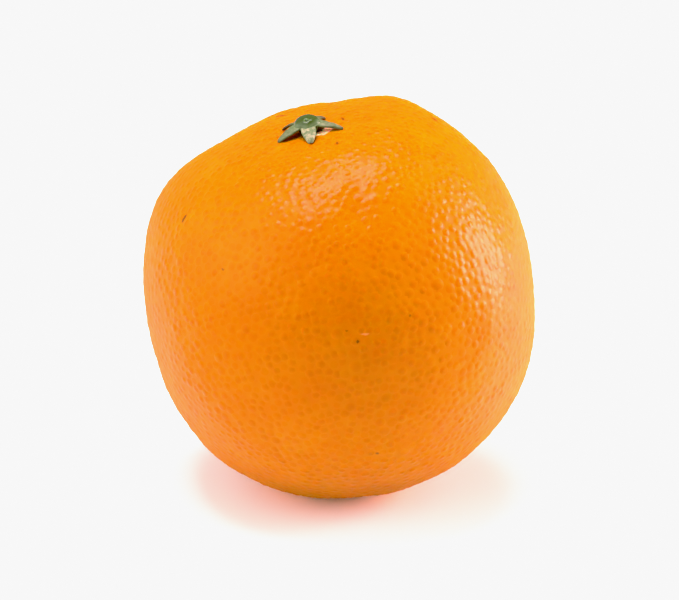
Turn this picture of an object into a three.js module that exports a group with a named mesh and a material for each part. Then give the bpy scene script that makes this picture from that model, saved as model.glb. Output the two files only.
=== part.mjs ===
// A whole fresh orange with its calyx and the cut end of its stem, standing on the small flat
// that its own weight presses into the skin.
// Millimetres, +Z up. The origin is under the middle of the fruit, on the surface it stands on.
// The core runs from the blossom end up to the stem end. It leans towards -X, so the calyx
// sits left of the top and the blossom scar lies right of the resting flat and behind it.
import * as THREE from 'three';
import { mergeVertices } from 'three/addons/utils/BufferGeometryUtils.js';

// Fruit
const equatorRadius = 37.9;
const stemEndHeight = 37.3;        // from the middle of the core to the plain stem end
const blossomEndHeight = 38.5;     // from the middle of the core to the plain blossom end
const squareness = 2.1;            // 2 is an ellipsoid, more fills out the shoulders
const leanLeft = 9.5;              // degrees that the core tips towards -X
const leanForward = 7.5;           // degrees that the core tips towards -Y
const restFlatDepth = 0.65;        // how far the weight presses the underside in
const slicesAround = 72;
const ringsAlong = 42;

// Broad swellings (rise above 0) and flats (rise below 0) of the rind. turn is degrees round
// the core, from is degrees away from the stem end, spread is how wide it fades, in degrees.
const swellings = [
  { turn: 35, from: 42, spread: 20, rise: 1.4 },
  { turn: 46, from: 35, spread: 9, rise: 0.8 },
  { turn: 17, from: 66, spread: 16, rise: 0.7 },
  { turn: 165, from: 53, spread: 20, rise: 1.8 },
  { turn: 142, from: 34, spread: 12, rise: -0.9 },
  { turn: -11, from: 120, spread: 18, rise: 0.8 },
  { turn: -41, from: 147, spread: 22, rise: 0.7 },
  { turn: -147, from: 136, spread: 24, rise: 0.5 },
  { turn: -177, from: 87, spread: 24, rise: -0.5 },
  { turn: 3, from: 95, spread: 24, rise: -0.4 },
  { turn: 82, from: 105, spread: 25, rise: 0.5 },
  { turn: 118, from: 80, spread: 18, rise: -0.3 },
];

// The broad hollow that the calyx sits in, and the dimple of the stylar scar at the other end
const stemHollow = { depth: 2, spread: 18 };
const stylarDimple = { depth: 0.7, spread: 4 };

// Calyx: five sepals grown together in the middle
const sepals = [
  { turn: 275, reach: 6.5 },
  { turn: 208, reach: 6.8 },
  { turn: 135, reach: 5.8 },
  { turn: 57, reach: 5.8 },
  { turn: 346, reach: 6.9 },
];
const calyxDiscRadius = 2.7;
const sepalSpread = 17;            // degrees; sets how wide a sepal is
const sepalThickness = 0.5;
const calyxExtraThickness = 0.6;   // added in the middle, where the stem joins
const calyxJoinRadius = 2;
const sepalArch = 0.9;             // how far a sepal stands off the skin halfway out
const sepalArchLength = 7;
const calyxSlices = 90;
const calyxRings = 14;

// Stem stub: the pedicel, clipped close to the calyx
const stubRadius = 2.3;
const stubHeight = 1.2;
const stubPitRadius = 0.5;
const stubPitDepth = 0.25;
const stubSlices = 32;

// Touching pieces keep this gap.
const jointGap = 0.3;

const skinOrange = new THREE.MeshStandardMaterial({ color: 0xf28a1e, roughness: 0.38, metalness: 0 });
const sepalGreen = new THREE.MeshStandardMaterial({ color: 0x6f7040, roughness: 0.6, metalness: 0 });
const stemGreen = new THREE.MeshStandardMaterial({ color: 0x4a5a24, roughness: 0.35, metalness: 0 });

const radians = THREE.MathUtils.degToRad;
const degrees = THREE.MathUtils.radToDeg;

function fade(distance, spread) {
  return Math.exp(-((distance / spread) ** 2));
}

// The smallest turn from one heading to another, in degrees, from -180 to 180
function turnBetween(heading, other) {
  return THREE.MathUtils.euclideanModulo(heading - other + 180, 360) - 180;
}

// The unit direction at a turn round the core and an angle away from the stem end
function directionOf(turn, from) {
  const across = Math.sin(radians(from));
  return new THREE.Vector3(
    across * Math.cos(radians(turn)),
    across * Math.sin(radians(turn)),
    Math.cos(radians(from)),
  );
}

// How far the skin is from the middle of the core in a unit direction, before the fruit leans
function skinRadius(direction) {
  const across = Math.hypot(direction.x, direction.y);
  const endHeight = direction.z > 0 ? stemEndHeight : blossomEndHeight;
  const acrossPart = (across / equatorRadius) ** squareness;
  const alongPart = (Math.abs(direction.z) / endHeight) ** squareness;
  let radius = (acrossPart + alongPart) ** (-1 / squareness);
  for (const swelling of swellings) {
    const centre = directionOf(swelling.turn, swelling.from);
    radius += swelling.rise * fade(degrees(direction.angleTo(centre)), swelling.spread);
  }
  const from = degrees(Math.atan2(across, direction.z));
  radius -= stemHollow.depth * fade(from, stemHollow.spread);
  radius -= stylarDimple.depth * fade(180 - from, stylarDimple.spread);
  return radius;
}

// A unit sphere with its poles on Z, as one skin of shared vertices
function plainSphere(slices, rings) {
  const sphere = new THREE.SphereGeometry(1, slices, rings);
  sphere.rotateX(Math.PI / 2);
  sphere.deleteAttribute('normal');
  sphere.deleteAttribute('uv');
  return mergeVertices(sphere, 1e-5);
}

// Moves every vertex of a geometry to where place() sends it
function reshape(geometry, place) {
  const positions = geometry.getAttribute('position');
  const vertex = new THREE.Vector3();
  for (let index = 0; index < positions.count; index += 1) {
    vertex.fromBufferAttribute(positions, index);
    place(vertex);
    positions.setXYZ(index, vertex.x, vertex.y, vertex.z);
  }
  geometry.computeVertexNormals();
  return geometry;
}

const lean = new THREE.Matrix4()
  .makeRotationX(radians(leanForward))
  .multiply(new THREE.Matrix4().makeRotationY(radians(-leanLeft)));

// The fruit, leaning as it rests, its underside pressed flat at restLevel
const fruitGeometry = reshape(plainSphere(slicesAround, ringsAlong), (vertex) => {
  const direction = vertex.clone().normalize();
  vertex.copy(direction).multiplyScalar(skinRadius(direction)).applyMatrix4(lean);
});
fruitGeometry.computeBoundingBox();
const restLevel = fruitGeometry.boundingBox.min.z + restFlatDepth;
reshape(fruitGeometry, (vertex) => {
  vertex.z = Math.max(vertex.z, restLevel);
});

// How far the calyx reaches from the core at a turn: a disc with five fingers
function calyxReach(turn) {
  let reach = calyxDiscRadius;
  for (const sepal of sepals) {
    const finger = (sepal.reach - calyxDiscRadius) * fade(turnBetween(turn, sepal.turn), sepalSpread);
    reach += finger;
  }
  return reach;
}

function calyxThickness(distance) {
  return sepalThickness + calyxExtraThickness * fade(distance, calyxJoinRadius);
}

// How far the calyx's underside stands off the skin: it arches between the middle and the tips
function calyxUnderside(distance) {
  return jointGap + sepalArch * Math.sin(Math.PI * Math.min(1, distance / sepalArchLength));
}

// A flattened sphere laid on the skin: its upper half is the sepals' top, its lower half their
// underside.
const calyxGeometry = reshape(plainSphere(calyxSlices, calyxRings), (vertex) => {
  const turn = degrees(Math.atan2(vertex.y, vertex.x));
  const outward = Math.hypot(vertex.x, vertex.y);
  const distance = outward * calyxReach(turn);
  const direction = directionOf(turn, degrees(distance / stemEndHeight));
  const height = calyxUnderside(distance) + calyxThickness(distance) * (1 + vertex.z) / 2;
  vertex.copy(direction).multiplyScalar(skinRadius(direction) + height).applyMatrix4(lean);
});

// The stub is turned about the core: a low dome with the pith's small pit in its middle.
const stubProfile = [
  new THREE.Vector2(0, 0),
  new THREE.Vector2(stubRadius * 0.9, 0),
  new THREE.Vector2(stubRadius, stubHeight * 0.2),
  new THREE.Vector2(stubRadius * 0.93, stubHeight * 0.55),
  new THREE.Vector2(stubRadius * 0.72, stubHeight * 0.85),
  new THREE.Vector2(stubPitRadius, stubHeight),
  new THREE.Vector2(0, stubHeight - stubPitDepth),
];
const calyxTopHeight = calyxUnderside(stubRadius) + calyxThickness(stubRadius);
const stubBase = skinRadius(directionOf(0, 0)) + calyxTopHeight + jointGap;
const stubGeometry = new THREE.LatheGeometry(stubProfile, stubSlices);
stubGeometry.rotateX(Math.PI / 2);
stubGeometry.translate(0, 0, stubBase);
stubGeometry.applyMatrix4(lean);

const orange = new THREE.Group();
const pieces = [
  ['fruit', fruitGeometry, skinOrange],
  ['calyx', calyxGeometry, sepalGreen],
  ['stem_stub', stubGeometry, stemGreen],
];
for (const [name, geometry, material] of pieces) {
  const mesh = new THREE.Mesh(geometry, material);
  mesh.name = name;
  orange.add(mesh);
}

// Stand the fruit on the floor, with its middle over the origin.
const extent = new THREE.Box3().setFromObject(orange, true);
const middle = extent.getCenter(new THREE.Vector3());
orange.position.set(-middle.x, -middle.y, -extent.min.z);

export default orange;
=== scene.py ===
import itertools
import math
import random

import bpy
import numpy as np
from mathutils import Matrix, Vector, kdtree, noise
from mathutils.bvhtree import BVHTree


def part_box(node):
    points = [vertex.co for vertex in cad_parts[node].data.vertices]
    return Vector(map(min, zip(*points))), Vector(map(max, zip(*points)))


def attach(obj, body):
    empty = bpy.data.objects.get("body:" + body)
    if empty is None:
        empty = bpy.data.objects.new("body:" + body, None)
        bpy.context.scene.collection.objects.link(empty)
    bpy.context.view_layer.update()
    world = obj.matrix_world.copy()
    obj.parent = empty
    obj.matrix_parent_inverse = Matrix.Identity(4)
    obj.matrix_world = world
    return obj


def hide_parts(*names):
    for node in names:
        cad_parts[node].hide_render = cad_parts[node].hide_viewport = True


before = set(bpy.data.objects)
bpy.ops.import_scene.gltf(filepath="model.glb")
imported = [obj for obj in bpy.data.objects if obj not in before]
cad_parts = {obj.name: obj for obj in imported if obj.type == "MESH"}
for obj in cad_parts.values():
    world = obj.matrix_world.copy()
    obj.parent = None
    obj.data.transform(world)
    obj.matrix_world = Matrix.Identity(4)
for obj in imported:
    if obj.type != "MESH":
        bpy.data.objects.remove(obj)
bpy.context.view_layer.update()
mm = 0.001

fruitLow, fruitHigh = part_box("fruit")
stubLow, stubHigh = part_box("stem_stub")
fruitMiddle = (fruitLow + fruitHigh) / 2
coreTop = (stubLow + stubHigh) / 2
coreUp = (coreTop - fruitMiddle).normalized()  # the core leans left and forward
coreBack = coreUp.cross(Vector((1, 0, 0))).normalized()
coreRight = coreBack.cross(coreUp)


def hexToLinear(code):
    channels = [int(code[start:start + 2], 16) / 255 for start in (0, 2, 4)]
    linear = [c / 12.92 if c <= 0.04045 else ((c + 0.055) / 1.055) ** 2.4 for c in channels]
    return (*linear, 1)


def addNode(tree, kind, settings=None, links=None):
    node = tree.nodes.new(kind)
    for name, value in (settings or {}).items():
        if isinstance(name, str) and hasattr(node, name):
            setattr(node, name, value)
        else:
            node.inputs[name].default_value = value
    for name, socket in (links or {}).items():
        tree.links.new(socket, node.inputs[name])
    return node


def newMaterial(name):
    material = bpy.data.materials.new(name)
    material.use_nodes = True
    material.node_tree.nodes.clear()
    return material, material.node_tree


def deselectAll():
    if bpy.context.object and bpy.context.object.mode != "OBJECT":
        bpy.ops.object.mode_set(mode="OBJECT")
    bpy.ops.object.select_all(action="DESELECT")


def pickOnly(piece):
    deselectAll()
    piece.select_set(True)
    bpy.context.view_layer.objects.active = piece


def addModifier(piece, kind, settings):
    modifier = piece.modifiers.new(kind.title(), kind)
    for name, value in settings.items():
        setattr(modifier, name, value)
    return modifier


def applyModifiers(piece):
    pickOnly(piece)
    for modifier in list(piece.modifiers):
        bpy.ops.object.modifier_apply(modifier=modifier.name)


def vertexPlaces(mesh):
    places = np.empty(len(mesh.vertices) * 3)
    mesh.vertices.foreach_get("co", places)
    return places.reshape(-1, 3)


def surfaceOf(piece):
    # a piece's faces as they are now, for ray casts onto them
    corners = [vertex.co for vertex in piece.data.vertices]
    return BVHTree.FromPolygons(corners, [face.vertices[:] for face in piece.data.polygons])


# the camera comes first, so that everything else can be judged through it

cameraSet = {
    "elevation": 20,        # degrees above the table
    "distance": 0.497,      # m from the point it looks at
    "lens": 135.7,          # a portrait lens keeps the fruit's outline true
    "lookHeight": 0.03732,  # m above the table
}


def makeCamera():
    raised = math.radians(cameraSet["elevation"])
    back = Vector((0, -math.cos(raised), math.sin(raised)))
    place = Vector((0, 0, cameraSet["lookHeight"])) + back * cameraSet["distance"]
    bpy.ops.object.camera_add(location=place, rotation=(math.pi / 2 - raised, 0, 0))
    camera = bpy.context.object
    camera.data.lens = cameraSet["lens"]
    camera.data.clip_start = 0.01
    bpy.context.scene.camera = camera


makeCamera()
print("camera placed")


rindSet = {
    "subdivisions": 7,         # six cube faces become 98304
    "evenPasses": 12,          # that even out the spacing of its vertices
    "glandSpacing": 1.4,       # mm, the least distance between two oil glands at the equator
    "stemSpacing": 0.95,       # mm, where they crowd near the calyx
    "crowdReach": 14,          # mm from the stem's top, how far the crowding is felt
    "glandReach": 0.58,        # a gland's radius, as a share of the way to its nearest neighbour
    "reachSpread": (0.85, 1.1),
    "glandHeight": 0.1,        # mm that a gland stands proud of the rind
    "heightSpread": (0.4, 1.4),
    "toneSpread": (0.1, 1),    # how much of the dark oil shows in each
    "fullRadius": 0.9,         # mm, the radius at which a gland has its full height
    "sizeLimits": (0.4, 1.2),  # of that height, for the smallest and the largest
    "swellHeight": 0.22,       # mm, slow waves of the rind
    "swellSize": 8.0,          # mm, the length of those waves
    "pebbleHeight": 0.07,      # mm, the uneven ground between the glands
    "pebbleSize": 2.6,         # mm
    "foldHeight": 0.26,        # mm, creases that run out from the calyx
    "foldCount": 26,           # of them round the calyx
    "foldReach": 13,           # mm from the core
    "foldRun": 14,             # mm along a crease before it wanders
    "foldRoot": 3,             # mm from the core, where the creases reach their full height
    "flatHeight": 0.05,        # mm above the table, where the resting flat stays flat
    "softLimit": 0.25,         # mm inside the CAD box where the relief starts to flatten
    "skinRadius": 38,          # mm, turns an angle seen from the middle into a way on the skin
    "seed": 11,
}
# shallow valleys of the rind, or ridges where the depth is below 0: where each starts and ends,
# seen from the fruit's middle (turn 0 faces -Y, 90 faces +X, rise is up from the equator), its
# depth and its half width in mm
valleys = [
    {"start": (6, 64), "end": (7, 40), "depth": 0.45, "halfWidth": 2.2},
    {"start": (-100, 86), "end": (-178, 64), "depth": 0.35, "halfWidth": 2.2},
    {"start": (160, 71), "end": (115, 62), "depth": -0.4, "halfWidth": 4.5},
    {"start": (-45, 66), "end": (-62, 40), "depth": 0.18, "halfWidth": 4.0},
    {"start": (60, 72), "end": (84, 44), "depth": 0.16, "halfWidth": 3.5},
]


def heading(turn, rise):
    # the unit direction of a turn and a rise
    turned, raised = math.radians(turn), math.radians(rise)
    level = math.cos(raised)
    return Vector((math.sin(turned) * level, -math.cos(turned) * level, math.sin(raised)))


def smoothCopyOf(node):
    # the CAD skin is loose facets: a merged, rounded copy gives the rind its true form
    pickOnly(node)
    bpy.ops.object.duplicate()
    form = bpy.context.object
    form.parent = None
    bpy.ops.object.mode_set(mode="EDIT")
    bpy.ops.mesh.select_all(action="SELECT")
    bpy.ops.mesh.remove_doubles(threshold=0.001 * mm)
    bpy.ops.mesh.tris_convert_to_quads()
    bpy.ops.object.mode_set(mode="OBJECT")
    addModifier(form, "SUBSURF", {"levels": 2})
    applyModifiers(form)
    return form


def makeRindBody(form):
    # a cube rounded to a ball has no poles, so its faces stay even all over the fruit; it starts
    # well inside the form and is pushed out to it
    deselectAll()
    bpy.ops.mesh.primitive_cube_add(size=60 * mm, location=fruitMiddle)
    body = bpy.context.object
    body.name = "orange_rind"
    levels = rindSet["subdivisions"]
    addModifier(body, "SUBSURF", {"levels": levels, "render_levels": levels})
    addModifier(body, "CAST", {"cast_type": "SPHERE", "factor": 1, "use_radius_as_size": True})
    addModifier(body, "SHRINKWRAP", {
        "target": form,
        "wrap_method": "PROJECT",
        "use_negative_direction": True,
        "use_positive_direction": True,
    })
    addModifier(body, "SMOOTH", {"factor": 0.5, "iterations": rindSet["evenPasses"]})
    applyModifiers(body)
    bpy.ops.object.transform_apply(location=True, rotation=True, scale=True)
    bpy.ops.object.shade_smooth()
    return body


def growGlands(body):
    # oil glands crowd the rind wherever there is room: each takes a free vertex, in random order
    mesh = body.data
    places = vertexPlaces(mesh)
    fromStem = np.linalg.norm(places - np.array(coreTop), axis=1) / mm
    nearStem = np.exp(-(fromStem / rindSet["crowdReach"]) ** 2)
    least = rindSet["glandSpacing"] * (1 - nearStem) + rindSet["stemSpacing"] * nearStem
    cell = rindSet["glandSpacing"] * mm
    order = list(range(len(places)))
    random.Random(rindSet["seed"]).shuffle(order)
    steps = list(itertools.product((-1, 0, 1), repeat=3))
    taken = {}
    glands = []
    keys = np.floor(places / cell).astype(int)
    for index in order:
        x, y, z = keys[index]
        here = tuple(places[index])
        near = (other for i, j, k in steps for other in taken.get((x + i, y + j, z + k), ()))
        if any(math.dist(here, other) < least[index] * mm for other in near):
            continue
        taken.setdefault((x, y, z), []).append(here)
        glands.append(index)
    return np.array(glands)


def valleyDepth(place):
    # how far the valleys lower the skin here
    lowered = 0
    for valley in valleys:
        start = heading(*valley["start"])
        end = heading(*valley["end"])
        along = end - start
        outward = Vector(place - np.array(fruitMiddle)).normalized()
        part = min(1, max(0, (outward - start).dot(along) / along.length_squared))
        aside = (outward - start - along * part).length * rindSet["skinRadius"]
        ends = math.sin(math.pi * (0.12 + 0.76 * part))  # shallower at both ends
        lowered += valley["depth"] * ends * math.exp(-(aside / valley["halfWidth"]) ** 2)
    return lowered * mm


def foldLift(place):
    # creases that the stem's pull leaves in the skin, fading away from the calyx
    offset = Vector(place) - skinPole
    fromCore = offset - coreUp * offset.dot(coreUp)
    far = fromCore.length / mm
    if far > 2.2 * rindSet["foldReach"]:
        return 0
    around = math.atan2(fromCore.dot(coreRight), fromCore.dot(coreBack))
    ring = rindSet["foldCount"] / (2 * math.pi)
    onRing = Vector((math.cos(around) * ring, math.sin(around) * ring, far / rindSet["foldRun"]))
    crease = noise.noise(onRing)
    fade = math.exp(-(far / rindSet["foldReach"]) ** 2) * min(1, far / rindSet["foldRoot"])
    return rindSet["foldHeight"] * mm * crease * fade


def raiseGlands(body, glands):
    # lifts every vertex by the gland it belongs to, and by the waves, folds and valleys
    mesh = body.data
    places = vertexPlaces(mesh)
    normals = np.empty(len(mesh.vertices) * 3)
    mesh.vertices.foreach_get("normal", normals)
    normals = normals.reshape(-1, 3)
    centres = places[glands]
    tree = kdtree.KDTree(len(centres))
    for index, centre in enumerate(centres):
        tree.insert(centre, index)
    tree.balance()
    dice = np.random.default_rng(rindSet["seed"])
    nextOne = np.array([tree.find_n(centre, 2)[1][2] for centre in centres])
    radius = nextOne * rindSet["glandReach"] * dice.uniform(*rindSet["reachSpread"], len(centres))
    size = (radius / (rindSet["fullRadius"] * mm)).clip(*rindSet["sizeLimits"])
    height = rindSet["glandHeight"] * mm * dice.uniform(*rindSet["heightSpread"], len(centres)) * size
    tone = dice.uniform(*rindSet["toneSpread"], len(centres))

    lift = np.empty(len(places))
    for index, place in enumerate(places):
        _, gland, distance = tree.find(place)
        part = min(1, distance / radius[gland])
        here = Vector(place) / mm
        lift[index] = height[gland] * (1 - part ** 2)
        lift[index] += rindSet["swellHeight"] * mm * noise.noise(here / rindSet["swellSize"])
        lift[index] += rindSet["pebbleHeight"] * mm * noise.noise(here / rindSet["pebbleSize"])
        lift[index] += foldLift(place) - valleyDepth(place)
    lift[places[:, 2] < rindSet["flatHeight"] * mm] = 0
    places += normals * lift[:, None]

    # toward the sides of the CAD box the relief flattens softly and never passes them
    soft = rindSet["softLimit"] * mm
    for limit, side in ((np.array(fruitHigh), 1), (np.array(fruitLow), -1)):
        over = (places - limit) * side + soft
        over[:, 2] *= side > 0  # the underside stands on the table and is cut level below
        eased = soft * (1 - np.exp(-over.clip(0, None) / soft))
        places -= side * np.where(over > 0, over - eased, 0)
    places[:, 2] = places[:, 2].clip(fruitLow.z, None)
    mesh.vertices.foreach_set("co", places.ravel())
    mesh.update()

    # each face knows its own gland, so the material can draw it sharper than the mesh
    tops = places[glands]
    owner = [tree.find(face.center)[1] for face in mesh.polygons]
    centreOf = mesh.attributes.new("glandCentre", "FLOAT_VECTOR", "FACE")
    centreOf.data.foreach_set("vector", tops[owner].astype(np.float32).ravel())
    radiusOf = mesh.attributes.new("glandRadius", "FLOAT", "FACE")
    radiusOf.data.foreach_set("value", radius[owner].astype(np.float32))
    toneOf = mesh.attributes.new("glandTone", "FLOAT", "FACE")
    toneOf.data.foreach_set("value", tone[owner].astype(np.float32))


fruitForm = smoothCopyOf(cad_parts["fruit"])
formTree = surfaceOf(fruitForm)
skinPole = formTree.ray_cast(coreTop, -coreUp)[0]  # where the core meets the skin under the calyx
rind = makeRindBody(fruitForm)
glandVertices = growGlands(rind)
raiseGlands(rind, glandVertices)
bpy.data.objects.remove(fruitForm)
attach(rind, "root")
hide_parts("fruit")
rindTree = surfaceOf(rind)
print("rind grown with", len(glandVertices), "oil glands")


rindFinish = {
    "orange": "A26600",
    "deepOrange": "A05B00",
    "cloudSize": 9,              # mm, clouds of the deeper orange
    "glandOrange": "864600",
    "dotShare": 0.36,            # of the gland's own orange in the middle of its dot
    "paintedBounceLight": "F8A030",          # painted bounce light: the skin near the table is painted paler, standing in for warm light bounced between fruit and table
    "paintedBounceHeight": (0.8, 3.4),  # mm above the table, where it starts to fade and where it ends
    "collar": "E6C492",          # the bare pale skin that the calyx has sheltered
    "collarRadius": 2.7,         # mm
    "collarShift": (2.0, 0.0),   # mm to the right of the core and behind it
    "paintedCalyxShadow": "4A2C14",            # painted shadow: a dark brown patch round the calyx's foot, where shade falls under the sepal roots
    "paintedCalyxShadowRadius": 1.9,           # mm
    "paintedCalyxShadowShift": (1.2, 0.7),
    "scar": "7A5A38",            # the corky scar of the style
    "scarRadius": 1.5,           # mm
    "markBrown": "5A2E10",
    "paleFlecksAndPaintedGlint": "C48A58",
    "ragged": 0.5,               # mm, how far the edges of marks and patches wander
    "glandDepth": 0.085,         # mm, how far the drawn dome stands over the mesh's
    "grain": 0.35,               # mm, the fine leather between the glands
    "grainDepth": 0.02,          # mm
    "groundRoughness": 0.3,
    "glandRoughness": 0.22,      # the wax is smoothest over the swollen glands
    "grazingRoughness": 0.45,    # added where the skin turns away, as fine pores hide the gloss
    "ior": 1.4,
    "specular": 0.115,           # the wax is thin and broken, so its gloss is weak
    "translucence": 0.6,
    "scatter": (1, 0.2, 0.06),   # red light wanders furthest, green and blue hardly
    "scatterDepth": 5,           # mm that light wanders in the peel
}
# small blemishes and pale flecks, and one painted highlight: turn and rise as for the valleys, half width
# and half height in mm
skinMarks = [
    {"at": (-63, 33), "size": (0.30, 0.90), "strong": 1.0, "colour": "markBrown"},
    {"at": (-37, 24), "size": (0.35, 0.22), "strong": 0.7, "colour": "markBrown"},
    {"at": (5, 8), "size": (0.20, 0.34), "strong": 0.8, "colour": "markBrown"},
    {"at": (2, 11), "size": (0.24, 0.18), "strong": 0.6, "colour": "markBrown"},
    {"at": (-118, 70), "size": (0.35, 1.10), "strong": 1.0, "colour": "markBrown"},
    {"at": (18, 87), "size": (0.30, 0.80), "strong": 0.8, "colour": "markBrown"},
    {"at": (-2, 71), "size": (0.30, 0.60), "strong": 0.8, "colour": "markBrown"},
    {"at": (20, 14), "size": (0.22, 0.22), "strong": 0.6, "colour": "markBrown"},
    {"at": (12, -29), "size": (0.30, 0.30), "strong": 0.8, "colour": "markBrown"},
    {"at": (101, 62), "size": (0.30, 0.60), "strong": 0.9, "colour": "markBrown"},
    {"at": (150, 20), "size": (0.40, 0.25), "strong": 0.7, "colour": "markBrown"},
    {"at": (-150, 5), "size": (0.25, 0.50), "strong": 0.7, "colour": "markBrown"},
    {"at": (80, -15), "size": (0.25, 0.25), "strong": 0.6, "colour": "markBrown"},
    {"at": (7, 10), "size": (0.70, 0.24), "strong": 0.4, "colour": "paleFlecksAndPaintedGlint"},
    # painted highlight: a pale speck where a small glint of light sits on the upper left
    {"at": (-33, 54), "size": (0.28, 0.28), "strong": 0.45, "colour": "paleFlecksAndPaintedGlint"},
    {"at": (-20, 63), "size": (0.45, 0.14), "strong": 0.4, "colour": "paleFlecksAndPaintedGlint"},
    {"at": (-12, 66), "size": (0.30, 0.20), "strong": 0.5, "colour": "paleFlecksAndPaintedGlint"},
    {"at": (-170, 35), "size": (0.50, 0.40), "strong": 0.5, "colour": "paleFlecksAndPaintedGlint"},
]


def spotMask(tree, place, middle, outward, size, edge):
    # 1 inside an upright oval on the skin that faces outward, 0 outside it, fading over its edge
    side = outward.cross(Vector((0, 0, 1))).normalized()
    upright = side.cross(outward)
    offset = addNode(tree, "ShaderNodeVectorMath", {"operation": "SUBTRACT", 1: middle}, {0: place})
    across, high = size
    shares = {}
    for index, (axis, reach) in enumerate(((side, across), (upright, high), (outward, 4))):
        shares[index] = addNode(
            tree, "ShaderNodeVectorMath", {"operation": "DOT_PRODUCT", 1: axis / (reach * mm)},
            {0: offset.outputs[0]},
        ).outputs["Value"]
    local = addNode(tree, "ShaderNodeCombineXYZ", None, shares)
    far = addNode(tree, "ShaderNodeVectorMath", {"operation": "LENGTH"}, {0: local.outputs[0]})
    return addNode(
        tree, "ShaderNodeMapRange",
        {
            "interpolation_type": "SMOOTHSTEP",
            "From Min": 1 - edge, "From Max": 1 + edge, "To Min": 1, "To Max": 0,
        },
        {"Value": far.outputs["Value"]},
    ).outputs[0]


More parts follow.
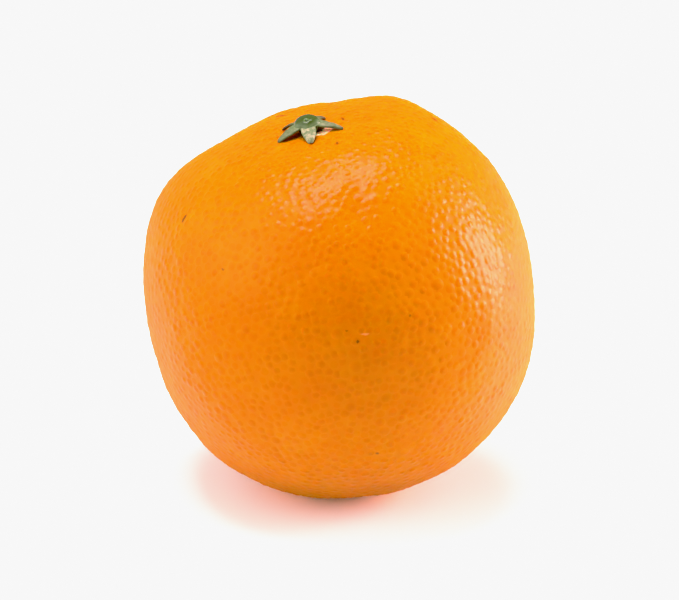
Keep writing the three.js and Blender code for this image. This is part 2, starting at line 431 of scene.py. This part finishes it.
def waxedPeel():
    # orange peel, grown and waxed: saturated orange with a soft wax gloss that the oil glands
    # break into sparkles, and a darker dot over each gland's oil
    material, tree = newMaterial("waxedPeel")
    place = addNode(tree, "ShaderNodeTexCoord").outputs["Object"]
    centre = addNode(tree, "ShaderNodeAttribute", {"attribute_name": "glandCentre"}).outputs["Vector"]
    radius = addNode(tree, "ShaderNodeAttribute", {"attribute_name": "glandRadius"}).outputs["Fac"]
    tone = addNode(tree, "ShaderNodeAttribute", {"attribute_name": "glandTone"}).outputs["Fac"]
    away = addNode(tree, "ShaderNodeVectorMath", {"operation": "DISTANCE"}, {0: place, 1: centre})
    part = addNode(tree, "ShaderNodeMath", {"operation": "DIVIDE"}, {0: away.outputs["Value"], 1: radius})
    squared = addNode(tree, "ShaderNodeMath", {"operation": "POWER", 1: 2}, {0: part.outputs[0]})
    dome = addNode(tree, "ShaderNodeMapRange", {"To Min": 1, "To Max": 0}, {"Value": squared.outputs[0]})
    domeHeight = addNode(tree, "ShaderNodeMath", {"operation": "MULTIPLY"}, {0: dome.outputs[0], 1: tone})
    dot = addNode(
        tree, "ShaderNodeMapRange",
        {
            "interpolation_type": "SMOOTHSTEP",
            "From Min": 0.15, "From Max": 1.05, "To Min": rindFinish["dotShare"], "To Max": 0,
        },
        {"Value": part.outputs[0]},
    )
    dotShare = addNode(tree, "ShaderNodeMath", {"operation": "MULTIPLY"}, {0: dot.outputs[0], 1: tone})
    cloud = addNode(
        tree, "ShaderNodeTexNoise",
        {"Scale": 1 / (rindFinish["cloudSize"] * mm), "Detail": 4, "Roughness": 0.7}, {"Vector": place},
    )
    cloudShare = addNode(
        tree, "ShaderNodeMapRange", {"From Min": 0.25, "From Max": 0.75}, {"Value": cloud.outputs["Fac"]}
    )
    orange, deepOrange = hexToLinear(rindFinish["orange"]), hexToLinear(rindFinish["deepOrange"])
    colour = addNode(
        tree, "ShaderNodeMix", {"data_type": "RGBA", 6: orange, 7: deepOrange}, {0: cloudShare.outputs[0]}
    ).outputs[2]
    colour = addNode(
        tree, "ShaderNodeMix", {"data_type": "RGBA", 7: hexToLinear(rindFinish["glandOrange"])},
        {0: dotShare.outputs[0], 6: colour},
    ).outputs[2]
    reach = rindFinish["ragged"] * mm
    wander = addNode(tree, "ShaderNodeTexNoise", {"Scale": 1 / reach, "Detail": 2}, {"Vector": place})
    ragged = addNode(
        tree, "ShaderNodeVectorMath", {"operation": "MULTIPLY_ADD", 1: (reach,) * 3, 2: (-reach / 2,) * 3},
        {0: wander.outputs["Color"]},
    )
    raggedPlace = addNode(
        tree, "ShaderNodeVectorMath", {"operation": "ADD"}, {0: place, 1: ragged.outputs[0]}
    ).outputs[0]
    # painted bounce light: the skin is painted paler toward the table, in place of the light bounced into
    # the gap there
    height = addNode(tree, "ShaderNodeSeparateXYZ", None, {0: raggedPlace}).outputs["Z"]
    start, end = rindFinish["paintedBounceHeight"]
    paintedBounceLight = addNode(
        tree, "ShaderNodeMapRange",
        {"From Min": start * mm, "From Max": end * mm, "To Min": 1, "To Max": 0}, {"Value": height},
    ).outputs[0]
    colour = addNode(
        tree, "ShaderNodeMix", {"data_type": "RGBA", 7: hexToLinear(rindFinish["paintedBounceLight"])},
        {0: paintedBounceLight, 6: colour},
    ).outputs[2]
    scarMiddle = rindTree.ray_cast(fruitMiddle, -coreUp)[0]
    spots = [(scarMiddle, -coreUp, rindFinish["scarRadius"], rindFinish["scar"])]
    # the collar is the skin's own pale colour; the dark brown patch is painted shadow under the calyx
    for name in ("collar", "paintedCalyxShadow"):
        aside, behind = rindFinish[name + "Shift"]
        middle = skinPole + (coreRight * aside + coreBack * behind) * mm
        spots.append((middle, coreUp, rindFinish[name + "Radius"], rindFinish[name]))
    for middle, outward, reach, code in spots:
        mask = spotMask(tree, raggedPlace, middle, outward, (reach, reach), 0.12)
        colour = addNode(
            tree, "ShaderNodeMix", {"data_type": "RGBA", 7: hexToLinear(code)}, {0: mask, 6: colour}
        ).outputs[2]
    for skinMark in skinMarks:
        outward = heading(*skinMark["at"])
        middle = rindTree.ray_cast(fruitMiddle, outward)[0]
        mask = spotMask(tree, raggedPlace, middle, outward, skinMark["size"], 0.4)
        strong = skinMark["strong"]
        share = addNode(tree, "ShaderNodeMath", {"operation": "MULTIPLY", 1: strong}, {0: mask})
        colour = addNode(
            tree, "ShaderNodeMix", {"data_type": "RGBA", 7: hexToLinear(rindFinish[skinMark["colour"]])},
            {0: share.outputs[0], 6: colour},
        ).outputs[2]
    grain = addNode(
        tree, "ShaderNodeTexNoise", {"Scale": 1 / (rindFinish["grain"] * mm), "Detail": 2},
        {"Vector": place},
    )
    domeBump = addNode(
        tree, "ShaderNodeBump", {"Strength": 1, "Distance": rindFinish["glandDepth"] * mm},
        {"Height": domeHeight.outputs[0]},
    )
    grainBump = addNode(
        tree, "ShaderNodeBump", {"Strength": 0.5, "Distance": rindFinish["grainDepth"] * mm},
        {"Height": grain.outputs["Fac"], "Normal": domeBump.outputs[0]},
    )
    waxed = addNode(
        tree, "ShaderNodeMapRange",
        {"To Min": rindFinish["groundRoughness"], "To Max": rindFinish["glandRoughness"]},
        {"Value": dome.outputs[0]},
    ).outputs[0]
    facing = addNode(tree, "ShaderNodeLayerWeight", {"Blend": 0.5}).outputs["Facing"]
    grazing = addNode(
        tree, "ShaderNodeMapRange",
        {"From Min": 0.5, "From Max": 1, "To Min": 0, "To Max": rindFinish["grazingRoughness"]},
        {"Value": facing},
    ).outputs[0]
    roughness = addNode(tree, "ShaderNodeMath", {"operation": "ADD"}, {0: waxed, 1: grazing})
    shader = addNode(
        tree, "ShaderNodeBsdfPrincipled",
        {
            "IOR": rindFinish["ior"],
            "Specular IOR Level": rindFinish["specular"],
            "Subsurface Weight": rindFinish["translucence"],
            "Subsurface Radius": rindFinish["scatter"],
            "Subsurface Scale": rindFinish["scatterDepth"] * mm,
        },
        {"Base Color": colour, "Roughness": roughness.outputs[0], "Normal": grainBump.outputs[0]},
    )
    addNode(tree, "ShaderNodeOutputMaterial", None, {"Surface": shader.outputs[0]})
    return material


rind.data.materials.append(waxedPeel())


calyxSet = {
    "discRadius": 2.3,   # mm, where the sepals part
    "rimEdges": 30,      # six for each sepal
    "rows": 6,           # steps from a sepal's root to its tip
    "thickness": 0.5,    # mm
    "tipThinning": 0.3,  # share of the thickness that a tip has lost
    "archHeight": 1.3,   # mm from the skin to the underside of a sepal's root
    "archFall": 1.9,     # how late the arch comes down along a sepal
    "footRadius": 1.5,   # mm, the middle that is grown onto the fruit
    "footSlope": 0.6,    # mm over which it leaves the skin
    "footSink": 0.25,    # mm that it sits in the skin
    "curl": 0.35,        # mm that a sepal's edges turn down
    "wrinkle": 0.10,     # mm
}
# turn is degrees counter-clockwise round the core from its right; root is where it joins the
# disc; reach is its length from the core and the widths are across it, in mm; bloom and dry are
# shares of pale wax and of brown
sepals = [
    {"root": 60, "turn": 55, "reach": 5.6, "midWidth": 1.5, "tipWidth": 0.5, "bloom": 0.0, "dry": 0.8},
    {"root": 132, "turn": 158, "reach": 5.5, "midWidth": 1.5, "tipWidth": 0.6, "bloom": 0.0, "dry": 0.8},
    {"root": 204, "turn": 209, "reach": 6.6, "midWidth": 2.5, "tipWidth": 0.9, "bloom": 0.2, "dry": 0.3},
    {"root": 276, "turn": 275, "reach": 6.2, "midWidth": 2.6, "tipWidth": 0.8, "bloom": 1.0, "dry": 0.1},
    {"root": 348, "turn": 347, "reach": 6.9, "midWidth": 1.9, "tipWidth": 0.6, "bloom": 0.3, "dry": 0.3},
]


def turnBetween(turn, other):
    return (turn - other + 180) % 360 - 180


def turnOf(place):
    return math.degrees(math.atan2(place.y, place.x))


halfShare = 180 / len(sepals)  # degrees, half of a sepal's share of the disc


def sepalWidth(sepal, part):
    # across the sepal at a part of its length: through its root, middle and tip widths
    root = 2 * calyxSet["discRadius"] * math.sin(math.radians(halfShare))
    middle, tip = sepal["midWidth"], sepal["tipWidth"]
    return root + (4 * middle - 3 * root - tip) * part + (2 * root + 2 * tip - 4 * middle) * part ** 2


def pickRimEdges(piece, sepal):
    # the edges of the disc's rim that face this sepal
    bpy.ops.mesh.select_all(action="DESELECT")
    bpy.ops.object.mode_set(mode="OBJECT")
    mesh = piece.data
    for edge in mesh.edges:
        ends = [mesh.vertices[index].co for index in edge.vertices]
        onRim = all(abs(end.length / mm - calyxSet["discRadius"]) < 0.01 for end in ends)
        edge.select = onRim and abs(turnBetween(turnOf(sum(ends, Vector())), sepal["root"])) < halfShare
    bpy.ops.object.mode_set(mode="EDIT")


def growSepal(piece, sepal):
    # out from the rim in rows, each as wide as the sepal is there
    pickRimEdges(piece, sepal)
    turned = math.radians(sepal["turn"])
    outward = Vector((math.cos(turned), math.sin(turned), 0))
    rows = calyxSet["rows"]
    step = (sepal["reach"] - calyxSet["discRadius"]) / rows * mm
    for row in range(rows):
        bpy.ops.mesh.extrude_region_move(TRANSFORM_OT_translate={"value": outward * step})
        narrower = sepalWidth(sepal, (row + 1) / rows) / sepalWidth(sepal, row / rows)
        centre = outward * (calyxSet["discRadius"] * mm + step * (row + 1))
        bpy.ops.transform.resize(value=(narrower,) * 3, center_override=centre)


def drapeCalyx(piece):
    # lays the flat star over the skin: raised where the sepals spring, down at their tips
    mesh = piece.data
    names = ("alongSepal", "acrossSepal", "waxBloom", "dryness")
    for name in names:
        mesh.attributes.new(name, "FLOAT", "POINT")
    partOf, asideOf, bloomOf, dryOf = [mesh.attributes[name].data for name in names]
    disc, thickness = calyxSet["discRadius"], calyxSet["thickness"]
    for index, vertex in enumerate(mesh.vertices):
        flat = Vector((vertex.co.x, vertex.co.y, 0)) / mm
        own = min(sepals, key=lambda sepal: abs(turnBetween(turnOf(flat), sepal["turn"])))
        turned = math.radians(own["turn"])
        outward = Vector((math.cos(turned), math.sin(turned), 0))
        far = flat.dot(outward)
        part = min(1, max(0, (far - disc) / (own["reach"] - disc)))
        aside = flat.dot(Vector((-outward.y, outward.x, 0))) / (sepalWidth(own, part) / 2)
        aside = min(1, max(-1, aside)) * min(1, flat.length / disc)
        arch = calyxSet["archHeight"] * (1 - part ** calyxSet["archFall"])
        free = min(1, max(0, (flat.length - calyxSet["footRadius"]) / calyxSet["footSlope"]))
        below = arch * (3 * free ** 2 - 2 * free ** 3) - calyxSet["footSink"] * (1 - free)
        above = arch + thickness * (1 - calyxSet["tipThinning"] * part)
        through = vertex.co.z / (thickness * mm)  # 0 on the underside, 1 on top
        height = below * (1 - through) + above * through
        height -= calyxSet["curl"] * aside ** 2 * min(1, 3 * part)
        wave = noise.noise(Vector((part * 9, aside * 2.5, own["turn"])))
        height += calyxSet["wrinkle"] * wave * min(1, 4 * part) * through
        start = skinPole + (coreRight * flat.x + coreBack * flat.y) * mm + coreUp * 5 * mm
        skin = formTree.ray_cast(start, -coreUp)[0]
        vertex.co = skin + coreUp * height * mm
        partOf[index].value = part
        asideOf[index].value = aside
        bloomOf[index].value = own["bloom"]
        dryOf[index].value = own["dry"] * min(1, max(0, 2.2 * part - 0.1 * wave))


def makeCalyx():
    deselectAll()
    halfEdge = math.pi / calyxSet["rimEdges"]  # turns the rim's corners to where the sepals part
    bpy.ops.mesh.primitive_circle_add(
        vertices=calyxSet["rimEdges"], radius=calyxSet["discRadius"] * mm, fill_type="TRIFAN",
        rotation=(0, 0, halfEdge),
    )
    calyx = bpy.context.object
    calyx.name = "green_calyx"
    bpy.ops.object.transform_apply(rotation=True)
    bpy.ops.object.mode_set(mode="EDIT")
    bpy.ops.mesh.select_mode(type="EDGE")
    for sepal in sepals:
        growSepal(calyx, sepal)
    bpy.ops.mesh.select_all(action="SELECT")
    bpy.ops.mesh.normals_make_consistent(inside=False)
    bpy.ops.object.mode_set(mode="OBJECT")
    if calyx.data.polygons[0].normal.z < 0:
        calyx.data.flip_normals()
    addModifier(calyx, "SOLIDIFY", {"thickness": calyxSet["thickness"] * mm, "offset": 1})
    addModifier(calyx, "SUBSURF", {"levels": 3, "render_levels": 3})
    applyModifiers(calyx)
    drapeCalyx(calyx)
    bpy.ops.object.shade_smooth()
    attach(calyx, "root")
    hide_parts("calyx")
    return calyx


sepalFinish = {
    "sage": "626C42",
    "olive": "4A532A",
    "wax": "8C9070",
    "dryBrown": "4E3C22",
    "streaks": 6,         # ribs across a sepal
    "ribDepth": 0.08,     # mm
    "blotchSize": 0.7,    # mm, patches of wax and of shrunken skin
    "blotchDepth": 0.06,  # mm
    "roughness": 0.5,
    "ior": 1.42,
}


def halfDrySepal():
    # sepals of a picked fruit, green leather going dry: grey-green with lengthwise ribs, a pale
    # bloom of wax on the nearest one, and tips already brown
    material, tree = newMaterial("halfDrySepal")
    place = addNode(tree, "ShaderNodeTexCoord").outputs["Object"]
    part = addNode(tree, "ShaderNodeAttribute", {"attribute_name": "alongSepal"}).outputs["Fac"]
    aside = addNode(tree, "ShaderNodeAttribute", {"attribute_name": "acrossSepal"}).outputs["Fac"]
    bloom = addNode(tree, "ShaderNodeAttribute", {"attribute_name": "waxBloom"}).outputs["Fac"]
    lengthwise = addNode(tree, "ShaderNodeCombineXYZ", None, {0: part, 1: aside, 2: bloom})
    ribs = addNode(
        tree, "ShaderNodeTexNoise", {"Scale": sepalFinish["streaks"], "Detail": 4, "Roughness": 0.6},
        {"Vector": lengthwise.outputs[0]},
    )
    blotch = addNode(
        tree, "ShaderNodeTexNoise",
        {"Scale": 1 / (sepalFinish["blotchSize"] * mm), "Detail": 3, "Roughness": 0.6}, {"Vector": place},
    )
    ribShare = addNode(
        tree, "ShaderNodeMapRange", {"From Min": 0.35, "From Max": 0.65}, {"Value": ribs.outputs["Fac"]}
    )
    olive, sage = hexToLinear(sepalFinish["olive"]), hexToLinear(sepalFinish["sage"])
    colour = addNode(
        tree, "ShaderNodeMix", {"data_type": "RGBA", 6: olive, 7: sage}, {0: ribShare.outputs[0]}
    ).outputs[2]
    waxPatch = addNode(
        tree, "ShaderNodeMapRange",
        {"interpolation_type": "SMOOTHSTEP", "From Min": 0.42, "From Max": 0.62, "To Max": 0.8},
        {"Value": blotch.outputs["Fac"]},
    ).outputs[0]
    waxed = addNode(tree, "ShaderNodeMath", {"operation": "MULTIPLY"}, {0: waxPatch, 1: bloom}).outputs[0]
    dry = addNode(tree, "ShaderNodeAttribute", {"attribute_name": "dryness"}).outputs["Fac"]
    tip = addNode(
        tree, "ShaderNodeMapRange",
        {"interpolation_type": "SMOOTHSTEP", "From Min": 0.86, "From Max": 1, "To Max": 0.7},
        {"Value": part},
    ).outputs[0]
    for share, code in ((waxed, "wax"), (dry, "dryBrown"), (tip, "dryBrown")):
        colour = addNode(
            tree, "ShaderNodeMix", {"data_type": "RGBA", 7: hexToLinear(sepalFinish[code])},
            {0: share, 6: colour},
        ).outputs[2]
    ribBump = addNode(
        tree, "ShaderNodeBump", {"Strength": 0.8, "Distance": sepalFinish["ribDepth"] * mm},
        {"Height": ribs.outputs["Fac"]},
    )
    blotchBump = addNode(
        tree, "ShaderNodeBump", {"Strength": 0.6, "Distance": sepalFinish["blotchDepth"] * mm},
        {"Height": blotch.outputs["Fac"], "Normal": ribBump.outputs[0]},
    )
    shader = addNode(
        tree, "ShaderNodeBsdfPrincipled",
        {"Roughness": sepalFinish["roughness"], "IOR": sepalFinish["ior"]},
        {"Base Color": colour, "Normal": blotchBump.outputs[0]},
    )
    addNode(tree, "ShaderNodeOutputMaterial", None, {"Surface": shader.outputs[0]})
    return material


calyx = makeCalyx()
calyx.data.materials.append(halfDrySepal())
print("calyx draped")


# the clipped stem is a low dome from its skirt up, with the pith's pit in the face turned forward
stubSet = {
    "slices": 30,
    "skirt": (2.3, 1.1),  # radius, and height over the skin under the core, in mm
    "rings": [(2.5, 1.5), (2.42, 1.95), (2.18, 2.4), (1.8, 2.75), (1.35, 3.0), (0.7, 3.12)],
    "pit": {"at": (0.1, -1.1), "radius": 0.38, "depth": 0.35},
    "lobe": 0.22,         # how far the dome swells toward each sepal, as a share of its radius
    "lobeSpread": 20,     # degrees
    "lobeHeight": 0.9,    # mm above the skirt, how far up the lobes are felt
    "dimple": 0.05,       # mm
}


def swellToSepals(piece):
    # the dome runs out into the sepals, and is a little uneven
    pit = stubSet["pit"]
    for vertex in piece.data.vertices:
        flat = Vector((vertex.co.x, vertex.co.y, 0)) / mm
        height = vertex.co.z / mm
        nearest = min(abs(turnBetween(turnOf(flat), sepal["turn"])) for sepal in sepals)
        share = math.exp(-(nearest / stubSet["lobeSpread"]) ** 2) - 0.35
        lower = math.exp(-((height - stubSet["skirt"][1]) / stubSet["lobeHeight"]) ** 2)
        flat *= 1 + stubSet["lobe"] * share * lower
        height += stubSet["dimple"] * noise.noise(Vector((flat.x, flat.y, height)) * 1.1)
        fromPit = (flat - Vector((*pit["at"], 0))).length
        height -= pit["depth"] * math.exp(-(fromPit / pit["radius"]) ** 2) * min(1, max(0, height - 1.5))
        vertex.co = skinPole + (coreRight * flat.x + coreBack * flat.y + coreUp * height) * mm


def makeStemStub():
    deselectAll()
    radius, height = stubSet["skirt"]
    bpy.ops.mesh.primitive_circle_add(
        vertices=stubSet["slices"], radius=radius * mm, fill_type="NGON", location=(0, 0, height * mm)
    )
    stub = bpy.context.object
    stub.name = "clipped_stem"
    bpy.ops.object.transform_apply(location=True)
    bpy.ops.object.mode_set(mode="EDIT")
    bpy.ops.mesh.select_mode(type="FACE")
    bpy.ops.mesh.select_all(action="SELECT")
    for nextRadius, nextHeight in stubSet["rings"]:
        bpy.ops.mesh.extrude_region_move(
            TRANSFORM_OT_translate={"value": (0, 0, (nextHeight - height) * mm)}
        )
        bpy.ops.transform.resize(
            value=(nextRadius / radius, nextRadius / radius, 1), center_override=(0, 0, nextHeight * mm)
        )
        radius, height = nextRadius, nextHeight
    bpy.ops.mesh.select_all(action="SELECT")
    bpy.ops.mesh.normals_make_consistent(inside=False)
    bpy.ops.object.mode_set(mode="OBJECT")
    addModifier(stub, "SUBSURF", {"levels": 3, "render_levels": 3})
    applyModifiers(stub)
    swellToSepals(stub)
    bpy.ops.object.shade_smooth()
    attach(stub, "root")
    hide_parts("stem_stub")
    return stub


stemFinish = {
    "green": "424C1C",
    "deepGreen": "2E3812",
    "greyGreen": "5C6440",
    "lip": "64733A",
    "pith": "1A1D08",
    "cloudSize": 1.1,    # mm, where the two greens change over
    "cloudDepth": 0.05,  # mm
    "roughness": 0.22,
    "ior": 1.45,
    "specular": 0.3,
}
# rounds of colour, each from the dome's top or from its pit: where it changes over in mm, and
# its share inside and outside of that; the skirt is as grey as the sepals, the pit's lip pale
stemRounds = [
    {"from": "top", "between": (2.0, 2.7), "shares": (0, 0.9), "colour": "greyGreen"},
    {"from": "pit", "between": (0.45, 0.65), "shares": (0.6, 0), "colour": "lip"},
    {"from": "pit", "between": (0.2, 0.36), "shares": (1, 0), "colour": "pith"},
]


def waxedStem():
    # the pedicel's clipped end, waxed with the fruit: dark olive green with a tight wet gloss,
    # greyer where it runs down into the sepals
    material, tree = newMaterial("waxedStem")
    place = addNode(tree, "ShaderNodeTexCoord").outputs["Object"]
    cloud = addNode(
        tree, "ShaderNodeTexNoise",
        {"Scale": 1 / (stemFinish["cloudSize"] * mm), "Detail": 3, "Roughness": 0.55}, {"Vector": place},
    ).outputs["Fac"]
    green, deepGreen = hexToLinear(stemFinish["green"]), hexToLinear(stemFinish["deepGreen"])
    colour = addNode(
        tree, "ShaderNodeMix", {"data_type": "RGBA", 6: green, 7: deepGreen}, {0: cloud}
    ).outputs[2]
    aside, behind = stubSet["pit"]["at"]
    above = skinPole + (coreRight * aside + coreBack * behind + coreUp * 6) * mm
    middles = {
        "top": skinPole + coreUp * stubSet["rings"][-1][1] * mm,
        "pit": stubTree.ray_cast(above, -coreUp)[0],
    }
    for stemRound in stemRounds:
        distance = addNode(
            tree, "ShaderNodeVectorMath", {"operation": "DISTANCE", 1: middles[stemRound["from"]]},
            {0: place},
        ).outputs["Value"]
        near, far = stemRound["between"]
        inside, outside = stemRound["shares"]
        share = addNode(
            tree, "ShaderNodeMapRange",
            {
                "interpolation_type": "SMOOTHSTEP",
                "From Min": near * mm, "From Max": far * mm, "To Min": inside, "To Max": outside,
            },
            {"Value": distance},
        ).outputs[0]
        colour = addNode(
            tree, "ShaderNodeMix", {"data_type": "RGBA", 7: hexToLinear(stemFinish[stemRound["colour"]])},
            {0: share, 6: colour},
        ).outputs[2]
    bump = addNode(
        tree, "ShaderNodeBump", {"Strength": 0.5, "Distance": stemFinish["cloudDepth"] * mm},
        {"Height": cloud},
    )
    shader = addNode(
        tree, "ShaderNodeBsdfPrincipled",
        {
            "Roughness": stemFinish["roughness"],
            "IOR": stemFinish["ior"],
            "Specular IOR Level": stemFinish["specular"],
        },
        {"Base Color": colour, "Normal": bump.outputs[0]},
    )
    addNode(tree, "ShaderNodeOutputMaterial", None, {"Surface": shader.outputs[0]})
    return material


stub = makeStemStub()
stubTree = surfaceOf(stub)
stub.data.materials.append(waxedStem())
print("stem stub made")


lightSet = {
    "sideBox": {"turn": 101, "rise": 9, "width": 0.35, "height": 0.66, "radiance": 23.0},
    "overheadLeft": {"turn": -74, "rise": 78, "width": 0.38, "height": 0.28, "radiance": 20.0},
    "overheadRight": {"turn": 160, "rise": 76.5, "width": 0.3, "height": 0.36, "radiance": 14.0},
}
# the room beyond the lamps: pale walls, and white reflectors round the table, each full within
# its inner degrees and gone at its outer ones
studio = {
    "lampDistance": 0.9,  # m from the fruit's middle
    "room": 0.27,
    "cameraSide": 0.05,   # the dark end of the room, behind the camera
    "table": "FAF9F8",
    "tableRoughness": 0.35,
    "glows": [
        {"turn": 302, "rise": 37, "inner": 5, "outer": 50, "radiance": 2.2},
        {"turn": 285, "rise": 8, "inner": 10, "outer": 55, "radiance": 1.6},
        {"turn": 235, "rise": 28, "inner": 5, "outer": 45, "radiance": 0.35},
        {"turn": 60, "rise": 24, "inner": 5, "outer": 45, "radiance": 1.2},
        {"turn": 115, "rise": 35, "inner": 4, "outer": 22, "radiance": 2.2},
    ],
}


def addLamp(name, lamp):
    # a softbox aimed at the fruit; turn 0 is the camera's side, 90 the right
    outward = heading(lamp["turn"], lamp["rise"])
    bpy.ops.object.light_add(type="AREA", location=fruitMiddle + outward * studio["lampDistance"])
    box = bpy.context.object
    box.name = name
    box.rotation_euler = outward.to_track_quat("Z", "Y").to_euler()
    box.data.shape = "RECTANGLE"
    box.data.size = lamp["width"]
    box.data.size_y = lamp["height"]
    box.data.energy = lamp["radiance"] * math.pi * lamp["width"] * lamp["height"]


def makeTable():
    deselectAll()
    bpy.ops.mesh.primitive_plane_add(size=6, location=(0, 0, 0))
    table = bpy.context.object
    table.name = "table"
    material, tree = newMaterial("satinWhiteBoard")  # painted board, which mirrors the fruit faintly
    shader = addNode(
        tree, "ShaderNodeBsdfPrincipled",
        {"Base Color": hexToLinear(studio["table"]), "Roughness": studio["tableRoughness"]},
    )
    addNode(tree, "ShaderNodeOutputMaterial", None, {"Surface": shader.outputs[0]})
    table.data.materials.append(material)


def towards(tree, direction, turn, rise, inner, outer):
    # 1 within inner degrees of a heading, falling to 0 at outer degrees from it
    facing = addNode(
        tree, "ShaderNodeVectorMath", {"operation": "DOT_PRODUCT", 1: heading(turn, rise)}, {0: direction}
    )
    return addNode(
        tree, "ShaderNodeMapRange",
        {
            "interpolation_type": "SMOOTHSTEP",
            "From Min": math.cos(math.radians(outer)),
            "From Max": math.cos(math.radians(inner)),
        },
        {"Value": facing.outputs["Value"]},
    ).outputs[0]


def makeStudioSky():
    # the pale room with its broad glows, dark where the camera stands
    world = bpy.data.worlds.new("studioSky")
    bpy.context.scene.world = world
    world.use_nodes = True
    tree = world.node_tree
    tree.nodes.clear()
    direction = addNode(tree, "ShaderNodeTexCoord").outputs["Generated"]
    darkness = towards(tree, direction, 0, cameraSet["elevation"], 25, 45)
    strength = addNode(
        tree, "ShaderNodeMix", {"data_type": "FLOAT", 2: studio["room"], 3: studio["cameraSide"]},
        {0: darkness},
    ).outputs[0]
    for glow in studio["glows"]:
        share = towards(tree, direction, glow["turn"], glow["rise"], glow["inner"], glow["outer"])
        strength = addNode(
            tree, "ShaderNodeMath", {"operation": "MULTIPLY_ADD", 1: glow["radiance"]},
            {0: share, 2: strength},
        ).outputs[0]
    background = addNode(tree, "ShaderNodeBackground", {"Color": (1, 1, 1, 1)}, {"Strength": strength})
    addNode(tree, "ShaderNodeOutputWorld", None, {"Surface": background.outputs[0]})


# a camera's own response: a soft toe and a shoulder that rolls off at paper white, and a red that
# is lifted in the middle tones, which keeps the lit peel orange
film = {
    "whole": [
        (0, 0), (0.005, 0.0005), (0.0125, 0.009), (0.025, 0.037), (0.05, 0.094), (0.1, 0.2), (0.2, 0.4),
        (0.31, 0.62), (0.4, 0.788), (0.45, 0.863), (0.5, 0.91), (0.55, 0.929), (0.6, 0.931), (1, 0.931),
    ],
    "red": [
        (0, 0), (0.15, 0.15), (0.25, 0.31), (0.43, 0.61), (0.6, 0.72), (0.78, 0.79), (0.93, 0.93), (1, 1),
    ],
    "whiteLevel": 2,
}


def setFilm():
    view = bpy.context.scene.view_settings
    view.view_transform = "Standard"
    view.look = "None"
    view.use_curve_mapping = True
    mapping = view.curve_mapping
    mapping.white_level = (film["whiteLevel"],) * 3
    for curve, points in ((mapping.curves[3], film["whole"]), (mapping.curves[0], film["red"])):
        while len(curve.points) < len(points):
            curve.points.new(0.5, 0.5)
        for point, place in zip(curve.points, points):
            point.location = place
            point.handle_type = "AUTO_CLAMPED"
    mapping.update()


makeTable()
makeStudioSky()
for lampName, lamp in lightSet.items():
    addLamp(lampName, lamp)
setFilm()
print("studio lit")
